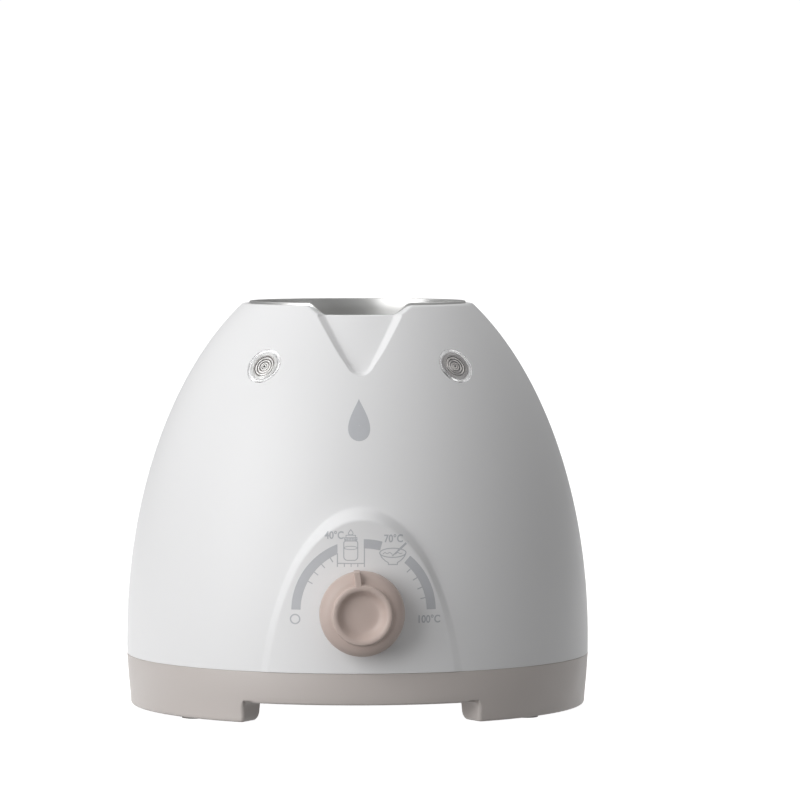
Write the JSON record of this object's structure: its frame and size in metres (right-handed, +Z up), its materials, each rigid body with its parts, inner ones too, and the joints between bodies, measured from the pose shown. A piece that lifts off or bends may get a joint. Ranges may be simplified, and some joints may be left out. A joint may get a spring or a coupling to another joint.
{
  "type": "bottle warmer",
  "caption": "Domed electric feeding bottle warmer with an open heated well, a V notch in the rim, a front dial and indicator lenses on a beige base.",
  "frame": {"origin": "on the dome's vertical axis, at the level of the surface that the rubber feet stand on", "axes": "+Z up along the well's axis, -Y towards the front with the dial, +X to the right as seen from the front"},
  "size_m": [0.1524, 0.1674, 0.1332],
  "materials": {
    "shell_white": "glossy injection-moulded white",
    "base_beige": "fine satin moulded beige",
    "knob_beige": "satin moulded beige",
    "print_grey": "pad-printed grey ink",
    "foot_rubber": "matt moulded rubber",
    "zinc_steel": "zinc-plated, satin",
    "cup_aluminium": "spun and anodised, satin",
    "cast_aluminium": "as cast",
    "grey_silicone": "soft matt silicone",
    "inner_plastic": "plain natural moulding",
    "felt": "pressed fibre felt",
    "ceramic_white": "matt heat-proof moulding",
    "brass_plain": "turned brass",
    "lens_clear": "clear polished polycarbonate",
    "lamp_clear": "water-clear lamp resin",
    "wire_red": "PVC insulation",
    "wire_white": "silicone insulation",
    "wire_black": "PVC insulation",
    "wire_blue": "PVC insulation"
  },
  "bodies": {
    "housing": {"outer_shell": "shell_white", "base_housing": "base_beige", "rubber_feet": "foot_rubber", "housing_screws": "zinc_steel", "heating_cup": "cup_aluminium", "cup_seal": "grey_silicone", "cup_retaining_ring": "inner_plastic", "ring_screws": "zinc_steel", "insulation_sleeve": "felt", "ptc_heater": "cast_aluminium", "heater_clamp": "zinc_steel", "heater_nut": "zinc_steel", "thermal_fuse": "ceramic_white", "fuse_clip": "zinc_steel", "thermostat_body": "ceramic_white", "thermostat_bracket": "zinc_steel", "thermostat_nut": "brass_plain", "bracket_screws": "zinc_steel", "lens_left": "lens_clear", "lens_right": "lens_clear", "lamp_left": "lamp_clear", "lamp_right": "lamp_clear", "lamp_holder_left": "inner_plastic", "lamp_holder_right": "inner_plastic", "terminal_block": "inner_plastic", "terminal_screws": "zinc_steel", "cord_gland": "grey_silicone", "wire_heater_supply": "wire_red", "wire_heater_fuse": "wire_white", "wire_fuse_return": "wire_white", "wire_thermostat_in": "wire_red", "wire_thermostat_out": "wire_black", "wire_lamp_left": "wire_blue", "wire_lamp_right": "wire_blue"},
    "dial": {"thermostat_shaft": "brass_plain", "knob": "knob_beige", "knob_clip": "zinc_steel"}
  },
  "joints": [
    {"name": "dial_turn", "type": "hinge", "parent": "housing", "child": "dial", "pos_m": [0, -0.0771, 0.0366], "axis": [0, 1, 0], "range_deg": [-82.8, 97.2]}
  ]
}
